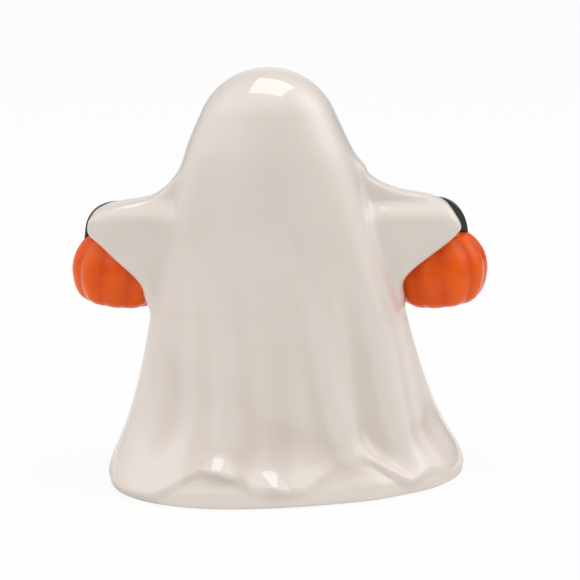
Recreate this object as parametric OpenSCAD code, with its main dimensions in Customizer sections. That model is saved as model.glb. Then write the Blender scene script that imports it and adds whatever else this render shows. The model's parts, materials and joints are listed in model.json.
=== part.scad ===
// Hollow glazed ceramic ghost that holds a pumpkin pail on each outstretched arm.
// The figure faces -Y, its own left arm points along +X, and it stands on the plane z = 0.

/* [Figure] */
// Height of the ceramic, from the foot to the crown
figure_h = 151.4; // [130:0.2:175]
// Width across the skirt at the hem
skirt_w = 135; // [125:1:145]
// Depth across the skirt at the hem
skirt_d = 83; // [76:1:94]
// Turn of the skirt's long axis at the hem, in degrees
skirt_turn = 13; // [0:1:16]
// Thickness of the casting
wall = 4.2; // [3:0.1:5]

/* [Head] */
// Radius of the crown
dome_r = 26.2; // [24:0.1:28]
// Slope of the head's flank where the crown ends, in degrees
dome_taper = 23; // [20:1:28]
// How far the head leans to the figure's left of the middle
head_lean = 4.6; // [0:0.2:6]
// How far the foot of the skirt lies to the figure's right of the middle
foot_lean = 2.8; // [0:0.2:4]

/* [Arms] */
// Reach of the left arm from the middle
left_reach = 70; // [66:0.1:74]
// Reach of the right arm from the middle
right_reach = 65.2; // [61:0.1:68]
// Height at which the cloth of the arms leaves the skirt
arm_low_z = 66; // [60:0.5:70]
// Height at which the left shoulder ends
left_shoulder_z = 113.5; // [108:0.5:118]
// Height at which the right shoulder ends
right_shoulder_z = 116.5; // [110:0.5:120]
// Thickness of the arms, front to back
arm_t = 19; // [17:0.5:21]

/* [Folds and hem] */
// Depth of the deepest fold at the hem
fold_depth = 3.2; // [0:0.1:4]
// Height of the lowest stretches of the hem above the foot
hem_low = 2.2; // [2:0.1:4]
// Rise of the tallest arch of the hem above its lowest stretches
hem_rise = 11.9; // [9:0.1:13]
// How far the wall under the hem lies back from the skirt
hem_step = 1; // [0.6:0.1:1.6]
// How far the hem's edge kicks out where its flare is fullest
flare_depth = 3.4; // [0:0.1:4]
// Height of the flare above the hem
flare_rise = 7; // [5:0.5:9]
// Height over which the hem's edge rolls under
hem_roll = 1.8; // [1:0.1:1.9]

/* [Pails] */
// Distance of the left pail's middle from the figure's middle
left_pail_x = 61.2; // [57:0.1:62]
// Distance of the right pail's middle from the figure's middle
right_pail_x = 60.2; // [56:0.1:61]
// Distance of each pail's middle in front of the arms' middle
pail_forward = 10.5; // [8:0.1:12]
// Height of the pails' underside above the foot
pail_foot_z = 63.2; // [58:0.1:66]
// Tilt of the pails, with their outer sides up, in degrees
pail_tilt = 6.5; // [0:0.5:8]
// Widest diameter of a pail
pail_dia = 36; // [32:0.1:38]
// Height of a pail
pail_h = 25.6; // [24:0.1:30]
// Diameter of the dished mouth
mouth_dia = 18; // [14:0.5:19]
// Depth of the dished mouth
mouth_depth = 5; // [3:0.5:8]
// Depth of the grooves between the ribs
rib_depth = 1.1; // [0.6:0.1:1.6]
// Number of ribs
rib_count = 10; // [8:2:12]
// Turn of the left pail's ribs about its middle, in degrees
left_rib_turn = 0; // [-18:1:18]
// Turn of the right pail's ribs about its middle, in degrees
right_rib_turn = 18; // [-18:1:18]

/* [Handles] */
// Half the span of the left strap at the pail
left_strap_reach = 14.2; // [12:0.1:15]
// Half the span of the right strap at the pail
right_strap_reach = 11.9; // [11:0.1:15]
// Rise of the left strap above the pail
left_strap_rise = 12.1; // [10:0.1:14]
// Rise of the right strap above the pail
right_strap_rise = 13.9; // [11:0.1:16]
// Fullness of the left strap's curve: 2 is an ellipse
left_strap_bow = 2.4; // [1.5:0.1:3]
// Fullness of the right strap's curve: 2 is an ellipse
right_strap_bow = 2.2; // [1.4:0.1:3]
// How far a strap's ends reach down past the pail's rim
strap_drop = 4; // [3:0.5:5]
// Thickness of the left strap
left_strap_t = 2.4; // [2:0.1:3.4]
// Thickness of the right strap
right_strap_t = 3.2; // [2:0.1:3.4]
// Width of a strap, front to back
strap_w = 4; // [3:0.1:5]

/* [Face] */
// Width of an eye
eye_w = 7.6; // [6:0.2:9]
// Height of an eye
eye_h = 11; // [8:0.2:13]
// Height of the eyes' middle above the foot
eye_z = 122; // [118:0.5:126]
// Angle between an eye and the middle of the face, in degrees
eye_turn = 20; // [16:1:24]
// Width of the mouth
mouth_w = 6.4; // [5:0.2:9]
// Height of the mouth
mouth_h = 7.6; // [5:0.2:9]
// Height of the mouth's middle above the foot
mouth_z = 107; // [104:0.5:110]
// Width of the grin on a pail
carve_w = 17; // [12:0.5:20]
// Height of the eyes on a pail
carve_h = 4.4; // [3:0.2:6]
// Height above the pail's underside of the middle of its face
carve_z = 13.8; // [13:0.2:16]
// How far the black details stand proud
relief = 0.7; // [0.4:0.1:1]

/* [Base] */
// Thickness of the base plate
plate_t = 4; // [3:0.1:6]
// How far the base plate lies above the foot
plate_recess = 1.2; // [0.8:0.1:2]
// Diameter of the vent hole
vent_dia = 12; // [8:0.5:16]
// Diameter of a felt pad
pad_dia = 11; // [8:0.5:14]
// How far the felt pads stand below the foot
pad_proud = 0.6; // [0.4:0.1:1]
// Distance of each pad's middle in from the sides of the skirt
pad_inset = 28; // [26:1:32]

/* [Hidden] */
// Seam left for glaze between pieces that are stuck together
seam = 0.08;
// Radius of the foot's edge and of the hem's edge
edge_r = 1;
// Angle of the figure's back, its front, and of a full turn
back_angle = 90;
front_angle = 270;
turn = 360;

// Flank from the foot up: share of the height, share of half the skirt's width
flank_shares = [
    [0, 1], [0.035, 0.985], [0.065, 0.96], [0.1, 0.917], [0.145, 0.865], [0.21, 0.808], [0.3, 0.749],
    [0.42, 0.685], [0.56, 0.605], [0.7, 0.52], [0.8, 0.45], [0.86, 0.393]
];
// Depth of the torso: share of the height, share of its width at that height
depth_shares = [
    [0, 0.64], [0.035, 0.64], [0.065, 0.61], [0.1, 0.575], [0.145, 0.56], [0.21, 0.572], [0.3, 0.605],
    [0.42, 0.66], [0.7, 0.8], [0.85, 0.885], [1, 0.97]
];
// Lean of the centre line: share of the height, share of the way from the foot's lean to the head's
lean_shares = [[0, 0], [0.42, 0.5], [0.82, 0.97], [1, 1]];
// Reach of each arm: share of its height, share of its full reach
left_arm_shares = [
    [-0.3, 0.3], [-0.12, 0.49], [0, 0.635], [0.05, 0.668], [0.11, 0.689], [0.18, 0.73], [0.31, 0.834],
    [0.465, 0.943], [0.53, 0.99], [0.57, 1], [0.63, 0.995], [0.68, 0.975], [0.72, 0.94], [0.755, 0.885],
    [0.78, 0.8], [0.81, 0.68], [0.865, 0.6], [0.96, 0.51], [1.1, 0.36], [1.3, 0.1], [1.5, 0]
];
right_arm_shares = [
    [-0.3, 0.3], [-0.12, 0.48], [0, 0.585], [0.05, 0.613], [0.11, 0.62], [0.17, 0.649], [0.25, 0.725],
    [0.36, 0.842], [0.455, 0.936], [0.505, 0.975], [0.55, 1], [0.6, 0.992], [0.65, 0.968], [0.7, 0.94],
    [0.74, 0.9], [0.78, 0.82], [0.81, 0.685], [0.865, 0.55], [0.93, 0.463], [1, 0.425], [1.1, 0.3],
    [1.3, 0.08], [1.5, 0]
];
// Thickness of an arm: share of its height, share of its full thickness
thickness_shares = [
    [0, 0.85], [0.3, 1], [0.61, 1], [0.68, 0.95], [0.73, 0.82], [0.77, 0.66], [0.81, 0.56], [0.89, 0.58],
    [1, 0.72], [1.2, 0.9]
];
// Folds: angle at the hem, drift towards the shoulder, half-width, share of the depth (negative is a valley)
folds = [
    [8, 0, 14, 0.3], [32, -10, 12, -0.8], [60, -12, 15, 0.8], [88, 0, 20, -0.45], [132, -30, 13, 0.9],
    [148, -19, 11, -1], [158, -14, 9, 0.9], [174, -8, 9, -0.6], [205, 4, 13, 0.8], [228, 2, 12, -0.8],
    [250, -2, 13, 0.7], [276, 0, 14, -0.6], [300, 2, 12, 0.8], [324, -2, 12, -0.8], [344, -6, 12, 0.6]
];
// Flare of the hem's edge: angle, drift up the flare, half-width, share of its depth
flares = [
    [32, 0, 22, 0.5], [82, 0, 44, 0.3], [59, -4, 9, 1.3], [87, -8, 5, 0.6], [148, -4, 14, 0.6],
    [214, 0, 20, 0.6], [272, 0, 24, 0.6], [322, 0, 20, 0.6]
];
// Arches of the hem: first angle, crest, last angle, share of the rise
arches = [
    [36.5, 55, 86.5, 0.85], [38, 81, 122, 0.34], [87, 130.5, 154, 0.96], [143, 160, 171, 0.37],
    [184, 202, 222, 0.55], [226, 246, 268, 0.5], [276, 298, 320, 0.6], [324, 342, 360, 0.45]
];
// Outside of a pail from its underside to its mouth: share of the height, share of its half-width
pail_shares = [
    [0, 0.35], [0.005, 0.6], [0.05, 0.74], [0.15, 0.865], [0.31, 0.957], [0.5, 1], [0.67, 0.965],
    [0.82, 0.865], [0.93, 0.745], [0.98, 0.65]
];

// Width of the dish in a pail's mouth, just above its floor and on it: share of the mouth's width
dish_shares = [0.9, 0.7];
// Softness of the grooves between the ribs
groove_share = 0.02;
// How much of an oval's width its edge is drawn over
oval_share = 0.98;
// Corners of the grin's teeth: share of half its width
tooth_shares = [0.18, 0.26, 0.42, 0.5];
// Drop of the grin, its height in the middle, its taper and its teeth: share of the eyes' height
grin_shares = [2.1, 1.02, 0.75, 0.5];
// Half-width of a pail's eye: share of a quarter of the grin's width
eye_share = 0.55;

// How much of the folds is left at the foot
foot_fold_share = 0.1;
// How fast the folds fade out towards the shoulders
fold_fade = 1.2;
// How much of the arms has faded out at the crown
crown_fade_share = 0.99;
// Blunt ends of the arms, softness of the joins between arms and torso and between arches, roundness of the
// arches' crests and squareness of the torso
arm_blunt = 7;
join_soft = 10;
arch_soft = 6;
arch_round = 0.75;
torso_square = 2.2;
// Number of samples round the figure and how closely they crowd at the arms
round_samples = 84;
crowding = 0.55;
// Number of samples that an arm's seat spans on each side of the arm's middle
seat_samples = 12;
pail_samples = 60;

half_skirt = skirt_w / 2;
dome_z = figure_h - dome_r;
dome_join_z = dome_z + dome_r * sin(dome_taper);
dome_join_w = dome_r * cos(dome_taper);
plate_top = plate_recess + plate_t;
pail_r = pail_dia / 2;
left_ribs = back_angle + left_rib_turn;
right_ribs = back_angle + right_rib_turn;
hem_top = hem_low + hem_rise;
pad_x = half_skirt - pad_inset;
pad_y = skirt_d / 2 - pad_inset;

function lerp(a, b, share) = a + (b - a) * share;
function ones(table) = [for (row = table) 1];
function ease(x) = let (t = min(max(x, 0), 1)) t * t * (3 - 2 * t);

// Value at x of a smooth curve through the rows of a table
function slope(table, i) =
    let (before = max(i - 1, 0), after = min(i + 1, len(table) - 1))
    (table[after][1] - table[before][1]) / (table[after][0] - table[before][0]);
function curve(table, x) =
    let (last = len(table) - 1)
    x <= table[0][0] ? table[0][1]
    : x >= table[last][0] ? table[last][1]
    : let (
        i = [for (k = [0:last - 1]) if (x >= table[k][0] && x < table[k + 1][0]) k][0],
        span = table[i + 1][0] - table[i][0],
        t = (x - table[i][0]) / span,
        rise = table[i + 1][1] - table[i][1],
        a = slope(table, i) * span - rise,
        b = rise - slope(table, i + 1) * span
    ) table[i][1] + rise * t + t * (1 - t) * (a * (1 - t) + b * t);

// Superellipse radius at an angle
function oval(angle, half_x, half_y, n) =
    pow(pow(abs(cos(angle)) / half_x, n) + pow(abs(sin(angle)) / half_y, n), -1 / n);

// Smooth hump of one, centred on the middle
function hump(x) = abs(x) >= 1 ? 0 : pow(cos(x * back_angle), 2);
function wrap(angle) = angle - turn * round(angle / turn);

// Half-width of the torso
flank = concat(
    [for (row = flank_shares) [row[0] * figure_h, row[1] * half_skirt]],
    [[dome_join_z, dome_join_w]]
);
function torso_half(z, inset) =
    z > dome_join_z ? sqrt(max(pow(dome_r - inset, 2) - pow(z - dome_z, 2), 0))
    : curve(flank, z) - inset;

function centre_x(z) = lerp(-foot_lean, head_lean, curve(lean_shares, z / figure_h));

// Reach and half-thickness of an arm, drawn in on all sides by the inset
function arm_share(z, shoulder_z) = (z - arm_low_z) / (shoulder_z - arm_low_z);
function arm_reach(z, table, reach, shoulder_z, inset) =
    let (shares = [for (d = [-inset, 0, inset]) curve(table, arm_share(z + d, shoulder_z))])
    reach * min(shares) - inset;
function arm_half(z, shoulder_z, inset) =
    max(arm_t / 2 * curve(thickness_shares, arm_share(z + inset, shoulder_z)) - inset, edge_r);

// What a horizontal slice of the figure needs: height, middle, torso, arms, turn and strength of the folds
function slice(z, inset) =
    let (
        half = torso_half(z, inset),
        flatness = curve(depth_shares, z / figure_h) * skirt_d / skirt_w / depth_shares[0][1],
        arm = 1 - crown_fade_share * ease((z - dome_join_z) / (figure_h - dome_join_z))
    )
    [
        z,
        centre_x(z),
        half,
        half * flatness - inset * (1 - flatness) * min(half / dome_r, 1),
        arm * max(arm_reach(z, left_arm_shares, left_reach, left_shoulder_z, inset) - centre_x(z), edge_r),
        arm * max(arm_reach(z, right_arm_shares, right_reach, right_shoulder_z, inset) + centre_x(z), edge_r),
        arm * arm_half(z, left_shoulder_z, inset),
        skirt_turn * (1 - ease(z / arm_low_z)),
        fold_depth * pow(1 - ease(z / left_shoulder_z), fold_fade)
            * lerp(foot_fold_share, 1, ease(z / hem_top / 2))
    ];

// Rise of the hem at an angle, as a share of the tallest arch
function arch(angle, row) =
    let (span = angle < row[1] ? row[1] - row[0] : row[2] - row[1])
    angle <= row[0] || angle >= row[2] ? 0 : row[3] * pow(hump((angle - row[1]) / span), arch_round);
function hem_z(angle) =
    let (total = [for (row = arches) pow(arch(angle, row), arch_soft)] * ones(arches))
    hem_low + hem_rise * pow(total, 1 / arch_soft);

// Sum of the humps of a table at an angle, drifted by how far up they are
function humps(table, angle, up) =
    [for (row = table) row[3] * hump(wrap(angle - row[0] - row[1] * up) / row[2])] * ones(table);
function flare(angle, up) = up >= 1 ? 0 : flare_depth * (1 - ease(up)) * humps(flares, angle, up);

// Distance from the centre line to the surface at an angle within a slice
function smooth_radius(angle, s) =
    let (
        torso = oval(angle - s[7], s[2], s[3], torso_square),
        arm = oval(angle, cos(angle) > 0 ? s[4] : s[5], s[6], arm_blunt)
    )
    pow(pow(torso, join_soft) + pow(arm, join_soft), 1 / join_soft) +
    s[8] * humps(folds, angle, s[0] / left_shoulder_z);
function foot_cut(z) = z >= edge_r ? 0 : edge_r - sqrt(pow(edge_r, 2) - pow(edge_r - z, 2));
function radius(angle, s) =
    let (
        up = s[0] - hem_z(angle),
        kick = lerp(flare(angle, up / flare_rise), -hem_step, ease(1 / 2 - up / hem_roll))
    )
    smooth_radius(angle, s) + kick - foot_cut(s[0]);
function surface_point(angle, s, proud) =
    let (r = radius(angle, s) + proud)
    [s[1] + r * cos(angle), r * sin(angle), s[0]];

// Angles of the samples round the figure, closer together at the arms
sample_angles = [
    for (i = [0:round_samples - 1])
        let (even = turn * i / round_samples) even - crowding / 2 * sin(2 * even) * turn / PI / 2
];

// Heights between two values, the first one included
function steps(from, to, count) = [for (i = [0:count - 1]) lerp(from, to, i / count)];
function dome_heights(inset, count) =
    [
        for (i = [0:count - 1])
            dome_z + (dome_r - inset) * sin(lerp(dome_taper, back_angle, (i + 1 / 2) / count))
    ];
tip_low_z = lerp(arm_low_z, left_shoulder_z, 1 / 2);
outer_heights = concat(
    steps(hem_top, arm_low_z, 8), steps(arm_low_z, tip_low_z, 8), steps(tip_low_z, right_shoulder_z, 15),
    steps(right_shoulder_z, dome_join_z, 4), dome_heights(0, 8)
);
inner_heights = concat(
    [0, plate_top], steps(hem_top, arm_low_z, 4), steps(arm_low_z, tip_low_z, 4),
    steps(tip_low_z, right_shoulder_z, 7), steps(right_shoulder_z, dome_join_z, 1), dome_heights(wall, 3)
);

// Rings of points: the foot, the wall under the hem, the hem, the rest of the outer surface, and the
// inner surface with a straight socket for the base plate
function outer_ring(z) = let (s = slice(z, 0)) [for (a = sample_angles) surface_point(a, s, 0)];
function wall_ring(share) =
    [
        for (a = sample_angles)
            surface_point(a, slice(lerp(edge_r, hem_z(a) - hem_roll / 2, share), 0), 0)
    ];
function hem_ring(share) =
    [
        for (a = sample_angles)
            surface_point(a, slice(lerp(hem_z(a) + hem_roll / 2, hem_top + hem_roll, share), 0), 0)
    ];
function inner_ring(z) =
    let (s = slice(max(z, plate_top), wall))
    [
        for (a = sample_angles)
            let (r = smooth_radius(a, s) - hem_step) [s[1] + r * cos(a), r * sin(a), z]
    ];
function flat(rings) = [for (ring = rings) each ring];

// Side triangles between rings that each hold n points
function band(first, rings, n) = [
    for (j = [0:rings - 2])
        for (i = [0:n - 1])
            let (a = first + j * n + i, b = first + j * n + (i + 1) % n)
            each [[a, a + n, b], [b, a + n, b + n]]
];
function fan(first, n, tip) = [for (i = [0:n - 1]) [first + i, tip, first + (i + 1) % n]];
function flip(faces) = [for (f = faces) [f[2], f[1], f[0]]];

module on_pads() {
    translate([0, 0, pad_proud])
        children();
}

// The glazed casting: head, arms and skirt, hollow and open below
module ghost_body() {
    n = round_samples;
    outer_rings = concat(
        [for (z = steps(0, edge_r, 2)) outer_ring(z)],
        [for (share = [0, 1 / 2, 1]) wall_ring(share)],
        [for (share = [0, 1 / 4, 1 / 2, 3 / 4]) hem_ring(share)],
        [for (z = outer_heights) outer_ring(max(z, hem_top + hem_roll))]
    );
    outer_count = len(outer_rings);
    inner_count = len(inner_heights);
    outer = flat(outer_rings);
    inner = flat([for (z = inner_heights) inner_ring(z)]);
    inner_start = n * outer_count + 1;
    crown = [centre_x(figure_h), 0, figure_h];
    inner_crown = [centre_x(figure_h), 0, figure_h - wall];
    color("ghostwhite")
        on_pads()
            polyhedron(
                concat(outer, [crown], inner, [inner_crown]),
                concat(
                    band(0, outer_count, n),
                    fan(n * (outer_count - 1), n, inner_start - 1),
                    flip(band(inner_start, inner_count, n)),
                    flip(fan(inner_start + n * (inner_count - 1), n, inner_start + n * inner_count)),
                    [
                        for (i = [0:n - 1])
                            let (j = (i + 1) % n)
                            each [[i, j, inner_start + i], [j, inner_start + j, inner_start + i]]
                    ]
                )
            );
}

// The unglazed slab that closes the casting, with its vent hole
module base_plate() {
    s = slice(plate_top, wall);
    outline = [
        for (a = sample_angles)
            let (r = smooth_radius(a, s) - hem_step - seam) [s[1] + r * cos(a), r * sin(a)]
    ];
    color("wheat")
        on_pads()
            translate([0, 0, plate_recess])
                difference() {
                    linear_extrude(plate_t)
                        polygon(outline);
                    translate([-foot_lean, 0, -plate_t])
                        cylinder(h = 3 * plate_t, d = vent_dia, $fn = 64);
                }
}

// Stretch of the casting's surface round one arm, with the same samples, grown by the glaze seam
module arm_seat(side) {
    first = (side > 0 ? 0 : round_samples / 2) - seat_samples;
    count = 2 * seat_samples + 1;
    heights = [for (z = outer_heights) if (z > hem_top && z < dome_join_z) z];
    rings = [
        for (z = heights)
            let (s = slice(z, 0))
            concat(
                [[s[1], 0, z]],
                [
                    for (i = [first:first + count - 1])
                        surface_point(sample_angles[(i + round_samples) % round_samples], s, seam)
                ]
            )
    ];
    n = count + 1;
    last = n * (len(heights) - 1);
    polyhedron(
        flat(rings),
        concat(
            band(0, len(heights), n),
            [for (i = [1:n - 2]) [0, i, i + 1]],
            [for (i = [1:n - 2]) [last, last + i + 1, last + i]]
        )
    );
}

// Point of a pail's ribbed skin: angle round its middle, row of its section, distance proud
function rib_share(angle) = 1 - pow(pow(cos(angle * rib_count / 2), 2) + groove_share, 1 / 2);
function pail_point(angle, row, rib_turn, proud) =
    let (r = pail_r * row[1] - rib_depth * rib_share(angle - rib_turn) * ease(row[1] * 2 - 1 / 2) + proud)
    [r * cos(angle), r * sin(angle), row[0] * pail_h];

module at_pail(side) {
    translate([side > 0 ? left_pail_x : -right_pail_x, -pail_forward, pail_foot_z])
        rotate([0, -side * pail_tilt, 0])
            children();
}

// A ribbed pumpkin pail with a dished mouth
module pumpkin(rib_turn) {
    lip_share = mouth_dia / 2 / pail_r;
    floor_share = 1 - mouth_depth / pail_h;
    section = concat(
        pail_shares,
        [
            [1, lip_share + edge_r / 2 / pail_r], [1 - edge_r / 2 / pail_h, lip_share],
            [floor_share + edge_r / pail_h, lip_share * dish_shares[0]],
            [floor_share, lip_share * dish_shares[1]]
        ]
    );
    n = pail_samples;
    rings = [for (row = section) [for (i = [0:n - 1]) pail_point(turn * i / n, row, rib_turn, 0)]];
    tip = n * len(section);
    polyhedron(
        concat(flat(rings), [[0, 0, 0], [0, 0, floor_share * pail_h]]),
        concat(
            band(0, len(section), n),
            fan(n * (len(section) - 1), n, tip + 1),
            flip(fan(0, n, tip))
        )
    );
}

module pail(side, rib_turn) {
    color("darkorange")
        on_pads()
            difference() {
                at_pail(side)
                    pumpkin(rib_turn);
                arm_seat(side);
            }
}
module left_pail() {
    pail(1, left_ribs);
}
module right_pail() {
    pail(-1, right_ribs);
}

// A flat strap that arches over the arm from side to side of the pail
module strap(reach, rise, bow, thick) {
    ribs = 30;
    corner = thick / 4;
    section = [
        [0, -1, 1], [0, 1, 1], [corner, 1, 0], [thick - corner, 1, 0], [thick, 1, 1], [thick, -1, 1],
        [thick - corner, -1, 0], [corner, -1, 0]
    ];
    n = len(section);
    arch = [
        for (i = [0:ribs])
            let (a = lerp(0, 2 * back_angle, i / ribs))
            [(cos(a) < 0 ? -1 : 1) * pow(abs(cos(a)), 2 / bow), pow(abs(sin(a)), 2 / bow), 0]
    ];
    rings = [
        for (step = concat([[1, 0, strap_drop]], arch, [[-1, 0, strap_drop]]))
            [
                for (p = section)
                    [
                        (reach - p[0]) * step[0], p[1] * (strap_w / 2 - corner * p[2]),
                        (rise - p[0]) * step[1] - step[2]
                    ]
            ]
    ];
    last = n * (ribs + 2);
    polyhedron(
        flat(rings),
        concat(
            band(0, ribs + 3, n),
            [for (i = [1:n - 2]) [0, i, i + 1]],
            [for (i = [1:n - 2]) [last, last + i + 1, last + i]]
        )
    );
}
module pail_handle(side, reach, rise, bow, thick, rib_turn) {
    color("dimgray")
        on_pads()
            difference() {
                at_pail(side)
                    difference() {
                        translate([0, -strap_w / 4, pail_h])
                            strap(reach, rise, bow, thick);
                        pumpkin(rib_turn);
                    }
                arm_seat(side);
            }
}
module left_pail_handle() {
    pail_handle(1, left_strap_reach, left_strap_rise, left_strap_bow, left_strap_t, left_ribs);
}
module right_pail_handle() {
    pail_handle(-1, right_strap_reach, right_strap_rise, right_strap_bow, right_strap_t, right_ribs);
}

// A thin raised patch on a curved skin, between a low and a high edge from side to side
module inlay(columns, rows, low, high, skin) {
    n = rows + 1;
    top = (columns + 1) * n;
    sheet = function (proud) [
        for (i = [0:columns])
            let (t = lerp(-1, 1, i / columns))
            for (j = [0:rows]) skin(t, lerp(low(t), high(t), j / rows), proud)
    ];
    quad = function (a, b, c, d) [[a, b, c], [a, c, d]];
    polyhedron(
        concat(sheet(relief), sheet(seam)),
        concat(
            [
                for (i = [0:columns - 1], j = [0:rows - 1])
                    let (a = i * n + j) each quad(a, a + 1, a + n + 1, a + n)
            ],
            [
                for (i = [0:columns - 1], j = [0:rows - 1])
                    let (a = top + i * n + j) each quad(a, a + n, a + n + 1, a + 1)
            ],
            [for (i = [0:columns - 1]) let (a = i * n) each quad(a, a + n, a + n + top, a + top)],
            [for (i = [0:columns - 1]) let (a = i * n + rows) each quad(a, a + top, a + n + top, a + n)],
            [for (j = [0:rows - 1]) let (a = j) each quad(a, a + top, a + top + 1, a + 1)],
            [for (j = [0:rows - 1]) let (a = columns * n + j) each quad(a, a + 1, a + top + 1, a + top)]
        )
    );
}

// A black oval on the face: angle and height of its middle, width and height
module face_oval(angle, z, w, h) {
    edge = function (t) sqrt(1 - pow(t * oval_share, 2));
    s = slice(z, 0);
    reach = w / 2 / radius(angle, s) * turn / PI / 2;
    color("black")
        on_pads()
            inlay(
                12, 6, function (t) -edge(t), edge,
                function (t, v, proud) surface_point(angle + t * reach, slice(z + v * h / 2, 0), proud)
            );
}
module left_eye() {
    face_oval(front_angle + eye_turn, eye_z, eye_w, eye_h);
}
module right_eye() {
    face_oval(front_angle - eye_turn, eye_z, eye_w, eye_h);
}
module mouth() {
    face_oval(front_angle, mouth_z, mouth_w, mouth_h);
}

// Two triangular eyes and a toothed grin on the front of a pail
module pail_face(side, rib_turn) {
    skin = function (across, up, proud)
        let (share = (carve_z + up) / pail_h)
        pail_point(
            front_angle + across / pail_r * turn / PI / 2, [share, curve(pail_shares, share)], rib_turn, proud
        );
    base = function (t) 0;
    peak = function (t) carve_h * max(1 - abs(t), 1 - oval_share);
    tooth = function (t)
        grin_shares[3] * ease((abs(t) - tooth_shares[0]) / (tooth_shares[1] - tooth_shares[0]))
        * ease((tooth_shares[3] - abs(t)) / (tooth_shares[3] - tooth_shares[2]));
    jaw = function (t) carve_h * (t * t - grin_shares[0]);
    lip = function (t) jaw(t) + carve_h * (grin_shares[1] - t * t * grin_shares[2] - tooth(t));
    color("black")
        on_pads()
            at_pail(side) {
                for (way = [-1, 1])
                    inlay(
                        8, 3, base, peak,
                        function (t, v, proud) skin(carve_w * (way + t * eye_share) / 4, v, proud)
                    );
                inlay(30, 3, jaw, lip, function (t, v, proud) skin(carve_w / 2 * t, v, proud));
            }
}
module left_pail_face() {
    pail_face(1, left_ribs);
}
module right_pail_face() {
    pail_face(-1, right_ribs);
}

module foot_pads() {
    color("dimgray")
        rotate([0, 0, skirt_turn])
            for (x = [-pad_x, pad_x], y = [-pad_y, pad_y])
                translate([x, y, 0])
                    cylinder(h = plate_recess + pad_proud, d = pad_dia, $fn = 48);
}

ghost_body();
base_plate();
left_pail();
right_pail();
left_pail_handle();
right_pail_handle();
left_eye();
right_eye();
mouth();
left_pail_face();
right_pail_face();
foot_pads();
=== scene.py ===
"""Finishes the ceramic ghost: casting, ribbed pails, straps, black faces, base plate and felt pads."""

import json
import math

import bpy
import numpy as np
from bpy.props import FloatProperty, FloatVectorProperty, IntProperty, PointerProperty
from mathutils import Matrix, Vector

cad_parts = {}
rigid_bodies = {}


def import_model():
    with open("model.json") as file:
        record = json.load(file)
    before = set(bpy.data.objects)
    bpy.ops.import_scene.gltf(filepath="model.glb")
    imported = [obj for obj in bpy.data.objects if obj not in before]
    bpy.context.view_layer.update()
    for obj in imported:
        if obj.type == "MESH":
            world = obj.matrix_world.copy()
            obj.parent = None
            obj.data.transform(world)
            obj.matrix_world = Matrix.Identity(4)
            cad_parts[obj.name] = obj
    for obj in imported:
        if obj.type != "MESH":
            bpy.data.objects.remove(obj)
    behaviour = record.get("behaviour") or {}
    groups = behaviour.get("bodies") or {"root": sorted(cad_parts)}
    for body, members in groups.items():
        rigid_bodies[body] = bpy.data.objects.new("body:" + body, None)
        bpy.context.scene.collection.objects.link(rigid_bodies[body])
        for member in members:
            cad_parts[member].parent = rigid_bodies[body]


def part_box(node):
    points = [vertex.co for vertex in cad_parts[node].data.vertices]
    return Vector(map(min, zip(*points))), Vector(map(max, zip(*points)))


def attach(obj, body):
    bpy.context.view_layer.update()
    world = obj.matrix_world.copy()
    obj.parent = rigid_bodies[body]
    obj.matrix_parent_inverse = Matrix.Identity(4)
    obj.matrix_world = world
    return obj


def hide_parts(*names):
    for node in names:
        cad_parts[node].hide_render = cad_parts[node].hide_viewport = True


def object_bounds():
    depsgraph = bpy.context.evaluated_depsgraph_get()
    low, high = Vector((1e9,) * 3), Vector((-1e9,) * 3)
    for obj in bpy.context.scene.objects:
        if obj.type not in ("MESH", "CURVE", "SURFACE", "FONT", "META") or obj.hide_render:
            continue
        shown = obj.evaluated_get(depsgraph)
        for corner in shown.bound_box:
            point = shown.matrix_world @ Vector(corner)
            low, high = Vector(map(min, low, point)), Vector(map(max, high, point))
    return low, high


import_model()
cad_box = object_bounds()

bl_info = {
    "name": "Ceramic Ghost Figure",
    "version": (1, 0, 0),
    "blender": (4, 5, 0),
    "location": "View3D > Sidebar > Ceramic Ghost",
    "description": "Builds the glazed ghost, its pails and its studio from the packed solids",
    "category": "Object",
}

BODY = "root"
FINISH = "_finish"

# Flank from the foot up: share of the height, share of half the skirt's width
FLANK = [
    (0, 1), (0.035, 0.985), (0.065, 0.96), (0.1, 0.917), (0.145, 0.865), (0.21, 0.808), (0.3, 0.749),
    (0.42, 0.685), (0.56, 0.605), (0.7, 0.52), (0.8, 0.45), (0.86, 0.393),
]
# Depth of the torso: share of the height, share of its width at that height
DEPTH = [
    (0, 0.64), (0.035, 0.64), (0.065, 0.61), (0.1, 0.575), (0.145, 0.56), (0.21, 0.572), (0.3, 0.605),
    (0.42, 0.66), (0.7, 0.8), (0.85, 0.885), (1, 0.97),
]
# Lean of the centre line: share of the height, share of the way from the foot's lean to the head's
LEAN = [(0, 0), (0.42, 0.5), (0.82, 0.97), (1, 1)]
# Reach of each arm: share of its height, share of its full reach
LEFT_ARM = [
    (-0.3, 0.3), (-0.12, 0.49), (0, 0.635), (0.05, 0.668), (0.11, 0.689), (0.18, 0.73), (0.31, 0.834),
    (0.465, 0.943), (0.53, 0.99), (0.57, 1), (0.63, 0.995), (0.68, 0.975), (0.72, 0.94), (0.755, 0.885),
    (0.78, 0.8), (0.81, 0.68), (0.865, 0.6), (0.96, 0.51), (1.1, 0.36), (1.3, 0.1), (1.5, 0),
]
RIGHT_ARM = [
    (-0.3, 0.3), (-0.12, 0.48), (0, 0.585), (0.05, 0.613), (0.11, 0.62), (0.17, 0.649), (0.25, 0.725),
    (0.36, 0.842), (0.455, 0.936), (0.505, 0.975), (0.55, 1), (0.6, 0.992), (0.65, 0.968), (0.7, 0.94),
    (0.74, 0.9), (0.78, 0.82), (0.81, 0.685), (0.865, 0.55), (0.93, 0.463), (1, 0.425), (1.1, 0.3),
    (1.3, 0.08), (1.5, 0),
]
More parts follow.
